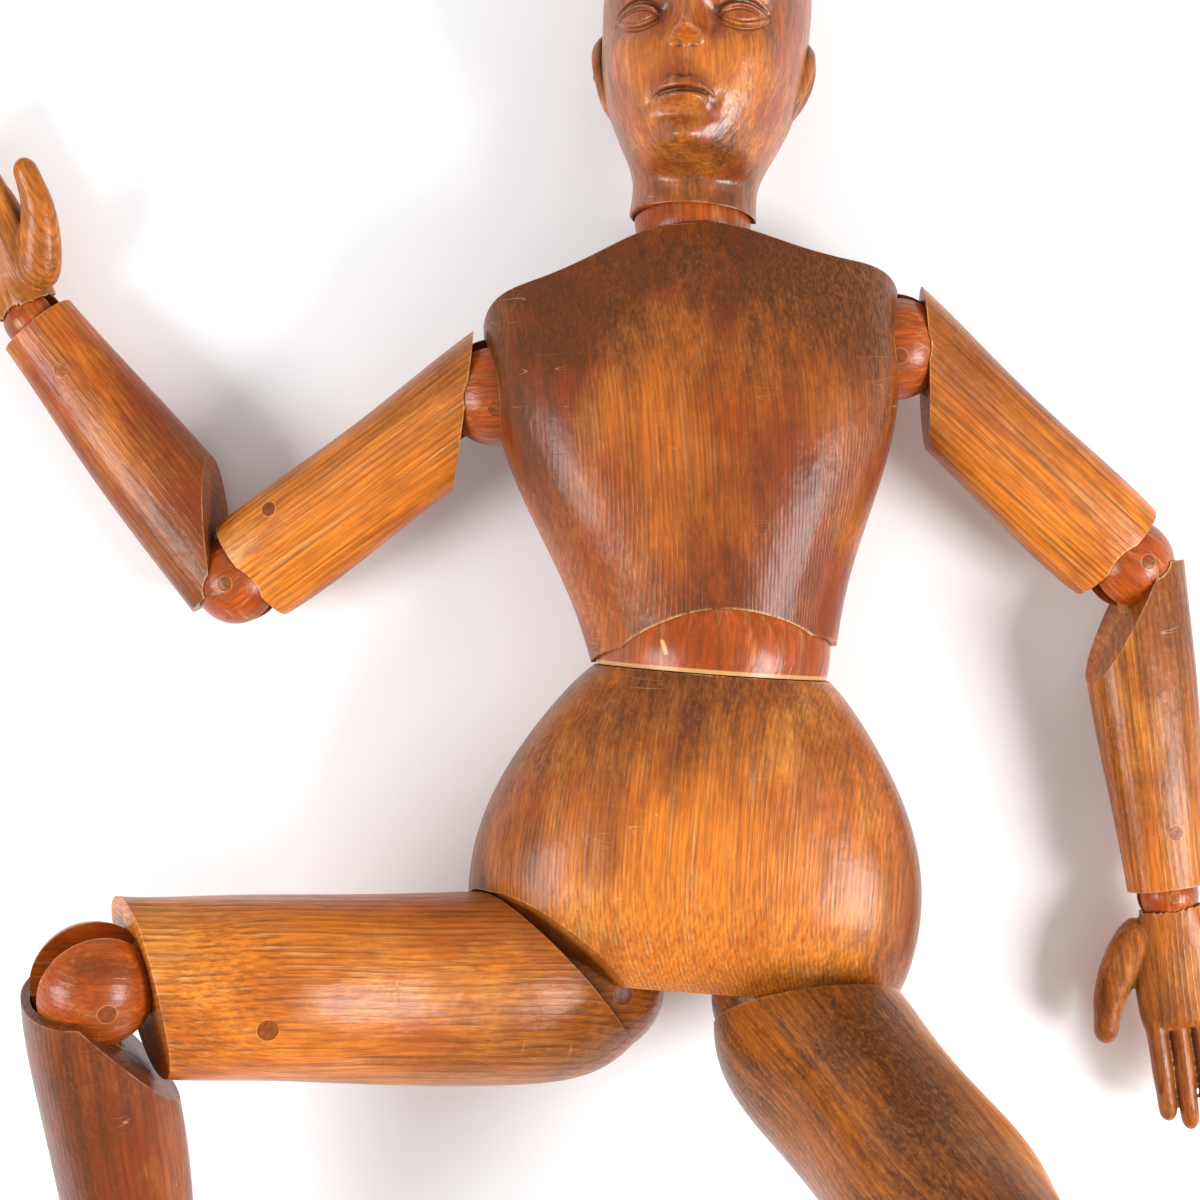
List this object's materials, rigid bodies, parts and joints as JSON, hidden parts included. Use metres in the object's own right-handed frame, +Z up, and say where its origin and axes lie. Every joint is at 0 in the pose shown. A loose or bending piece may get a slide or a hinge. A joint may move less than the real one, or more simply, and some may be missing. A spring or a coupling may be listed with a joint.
{
  "type": "jointed wooden artist's mannequin",
  "caption": "Carved wooden lay figure with ball-and-pin joints, lying on its back with raised knees and both arms out, for artists to pose.",
  "frame": {"origin": "centre of the footprint of the bounding box, on the surface that the figure lies on", "axes": "+Y from the hips towards the head, +X towards the figure's left side, +Z up, the way its face looks"},
  "size_m": [0.5502, 0.7534, 0.246],
  "materials": {
    "torso": "satin",
    "limb": "satin",
    "ball": "gloss",
    "peg": "satin"
  },
  "bodies": {
    "pelvis": {"pelvis": "torso", "waist_peg": "peg", "left_hip_peg": "peg", "right_hip_peg": "peg"},
    "waist_swivel": {"waist_ball": "ball", "waist_pin": "peg"},
    "chest": {"chest": "torso", "neck_peg": "peg", "left_shoulder_peg": "peg", "right_shoulder_peg": "peg"},
    "neck_swivel": {"neck_ball": "ball", "neck_pin": "peg"},
    "head": {"head": "torso"},
    "left_shoulder_swivel": {"left_shoulder_ball": "ball", "left_shoulder_pin": "peg"},
    "left_upper_arm": {"left_upper_arm": "limb", "left_elbow_peg": "peg"},
    "left_elbow_swivel": {"left_elbow_ball": "ball", "left_elbow_pin": "peg"},
    "left_forearm": {"left_forearm": "limb", "left_wrist_peg": "peg"},
    "left_wrist_swivel": {"left_wrist_ball": "ball", "left_wrist_pin": "peg"},
    "left_hand": {"left_hand": "limb"},
    "left_hip_swivel": {"left_hip_ball": "ball"},
    "left_thigh": {"left_thigh": "limb", "left_hip_pin": "peg", "left_knee_peg": "peg"},
    "left_knee_swivel": {"left_knee_ball": "ball", "left_knee_pin": "peg"},
    "left_shin": {"left_shin": "limb", "left_ankle_peg": "peg"},
    "left_ankle_swivel": {"left_ankle_ball": "ball", "left_ankle_pin": "peg"},
    "left_foot": {"left_foot": "limb"},
    "right_shoulder_swivel": {"right_shoulder_ball": "ball", "right_shoulder_pin": "peg"},
    "right_upper_arm": {"right_upper_arm": "limb", "right_elbow_peg": "peg"},
    "right_elbow_swivel": {"right_elbow_ball": "ball", "right_elbow_pin": "peg"},
    "right_forearm": {"right_forearm": "limb", "right_wrist_peg": "peg"},
    "right_wrist_swivel": {"right_wrist_ball": "ball", "right_wrist_pin": "peg"},
    "right_hand": {"right_hand": "limb"},
    "right_hip_swivel": {"right_hip_ball": "ball"},
    "right_thigh": {"right_thigh": "limb", "right_hip_pin": "peg", "right_knee_peg": "peg"},
    "right_knee_swivel": {"right_knee_ball": "ball", "right_knee_pin": "peg"},
    "right_shin": {"right_shin": "limb", "right_ankle_peg": "peg"},
    "right_ankle_swivel": {"right_ankle_ball": "ball", "right_ankle_pin": "peg"},
    "right_foot": {"right_foot": "limb"}
  },
  "joints": [
    {"name": "waist_turn", "type": "hinge", "parent": "pelvis", "child": "waist_swivel", "pos_m": [0.05719, 0.05946, 0.05255], "axis": [0.0732, 0.9973, 0], "range_deg": [-40, 40]},
    {"name": "waist_bend", "type": "hinge", "parent": "waist_swivel", "child": "chest", "pos_m": [0.05719, 0.05946, 0.05255], "axis": [0.9978, 0.0663, 0], "range_deg": [-10, 10]},
    {"name": "neck_turn", "type": "hinge", "parent": "chest", "child": "neck_swivel", "pos_m": [0.04895, 0.2318, 0.05255], "axis": [-0.0663, 0.9978, 0], "range_deg": [-60, 60]},
    {"name": "neck_nod", "type": "hinge", "parent": "neck_swivel", "child": "head", "pos_m": [0.04895, 0.2318, 0.05255], "axis": [0.9904, 0.0658, 0.1219], "range_deg": [-6, 9]},
    {"name": "left_shoulder_swing", "type": "hinge", "parent": "chest", "child": "left_shoulder_swivel", "pos_m": [0.12982, 0.18055, 0.05255], "axis": [0.9978, 0.0663, 0], "range_deg": [-90, 90]},
    {"name": "left_shoulder_raise", "type": "hinge", "parent": "left_shoulder_swivel", "child": "left_upper_arm", "pos_m": [0.12982, 0.18055, 0.05255], "axis": [-0.0168, 0.253, -0.9673], "range_deg": [-25, 15]},
    {"name": "left_elbow_turn", "type": "hinge", "parent": "left_upper_arm", "child": "left_elbow_swivel", "pos_m": [0.22896, 0.09376, 0.02813], "axis": [0.7398, -0.6477, -0.1822], "range_deg": [-75, 75]},
    {"name": "left_elbow_bend", "type": "hinge", "parent": "left_elbow_swivel", "child": "left_forearm", "pos_m": [0.22896, 0.09376, 0.02813], "axis": [-0.2574, -0.0222, -0.966], "range_deg": [-42, 25]},
    {"name": "left_wrist_turn", "type": "hinge", "parent": "left_forearm", "child": "left_wrist_swivel", "pos_m": [0.24518, -0.04227, 0.02693], "axis": [0.1184, -0.9929, -0.0087], "range_deg": [-75, 75]},
    {"name": "left_wrist_bend", "type": "hinge", "parent": "left_wrist_swivel", "child": "left_hand", "pos_m": [0.24518, -0.04227, 0.02693], "axis": [0.0463, -0.0033, 0.9989], "range_deg": [-28, 25]},
    {"name": "left_hip_turn", "type": "hinge", "parent": "pelvis", "child": "left_hip_swivel", "pos_m": [0.08495, -0.08135, 0.05255], "axis": [-0.0732, -0.9973, 0], "range_deg": [-12, 10]},
    {"name": "left_hip_bend", "type": "hinge", "parent": "left_hip_swivel", "child": "left_thigh", "pos_m": [0.08495, -0.08135, 0.05255], "axis": [-0.8953, 0.0657, 0.4407], "range_deg": [-50, 1]},
    {"name": "left_knee_turn", "type": "hinge", "parent": "left_thigh", "child": "left_knee_swivel", "pos_m": [0.1624, -0.16586, 0.2225], "axis": [0.3778, -0.4123, 0.829], "range_deg": [-60, 60]},
    {"name": "left_knee_bend", "type": "hinge", "parent": "left_knee_swivel", "child": "left_shin", "pos_m": [0.1624, -0.16586, 0.2225], "axis": [0.898, 0.3813, -0.2196], "range_deg": [-100, 1]},
    {"name": "left_ankle_turn", "type": "hinge", "parent": "left_shin", "child": "left_ankle_swivel", "pos_m": [0.18646, -0.30235, 0.0839], "axis": [0.1228, -0.6964, -0.7071], "range_deg": [-60, 60]},
    {"name": "left_ankle_bend", "type": "hinge", "parent": "left_ankle_swivel", "child": "left_foot", "pos_m": [0.18646, -0.30235, 0.0839], "axis": [0.9924, 0.0862, 0.0875], "range_deg": [-22, 30]},
    {"name": "right_shoulder_swing", "type": "hinge", "parent": "chest", "child": "right_shoulder_swivel", "pos_m": [-0.03033, 0.16239, 0.05255], "axis": [-0.9978, -0.0663, 0], "range_deg": [-90, 90]},
    {"name": "right_shoulder_raise", "type": "hinge", "parent": "right_shoulder_swivel", "child": "right_upper_arm", "pos_m": [-0.03033, 0.16239, 0.05255], "axis": [0.0252, -0.3788, 0.9251], "range_deg": [-9, 30]},
    {"name": "right_elbow_turn", "type": "hinge", "parent": "right_upper_arm", "child": "right_elbow_swivel", "pos_m": [-0.13769, 0.08721, 0.02468], "axis": [-0.8013, -0.561, -0.2079], "range_deg": [-75, 75]},
    {"name": "right_elbow_bend", "type": "hinge", "parent": "right_elbow_swivel", "child": "right_forearm", "pos_m": [-0.13769, 0.08721, 0.02468], "axis": [0.1783, 0.1078, -0.9781], "range_deg": [-86, 4]},
    {"name": "right_wrist_turn", "type": "hinge", "parent": "right_forearm", "child": "right_wrist_swivel", "pos_m": [-0.22239, 0.19484, 0.0211], "axis": [-0.6182, 0.7856, -0.0262], "range_deg": [-75, 75]},
    {"name": "right_wrist_bend", "type": "hinge", "parent": "right_wrist_swivel", "child": "right_hand", "pos_m": [-0.22239, 0.19484, 0.0211], "axis": [0.3321, 0.2309, -0.9146], "range_deg": [-40, 17]},
    {"name": "right_hip_turn", "type": "hinge", "parent": "pelvis", "child": "right_hip_swivel", "pos_m": [0.00915, -0.07578, 0.05255], "axis": [-0.0732, -0.9973, 0], "range_deg": [-20, 0]},
    {"name": "right_hip_bend", "type": "hinge", "parent": "right_hip_swivel", "child": "right_thigh", "pos_m": [0.00915, -0.07578, 0.05255], "axis": [-0.4136, 0.0304, -0.9099], "range_deg": [-72, 0]},
    {"name": "right_knee_turn", "type": "hinge", "parent": "right_thigh", "child": "right_knee_swivel", "pos_m": [-0.17704, -0.06439, 0.13756], "axis": [-0.9083, 0.0556, 0.4147], "range_deg": [-60, 60]},
    {"name": "right_knee_bend", "type": "hinge", "parent": "right_knee_swivel", "child": "right_shin", "pos_m": [-0.17704, -0.06439, 0.13756], "axis": [0.3698, -0.357, 0.8578], "range_deg": [-100, 0]},
    {"name": "right_ankle_turn", "type": "hinge", "parent": "right_shin", "child": "right_ankle_swivel", "pos_m": [-0.16455, -0.24301, 0.05784], "axis": [0.0637, -0.9113, -0.4067], "range_deg": [-60, 60]},
    {"name": "right_ankle_bend", "type": "hinge", "parent": "right_ankle_swivel", "child": "right_foot", "pos_m": [-0.16455, -0.24301, 0.05784], "axis": [0.3698, -0.357, 0.8578], "range_deg": [-30, 30]}
  ]
}
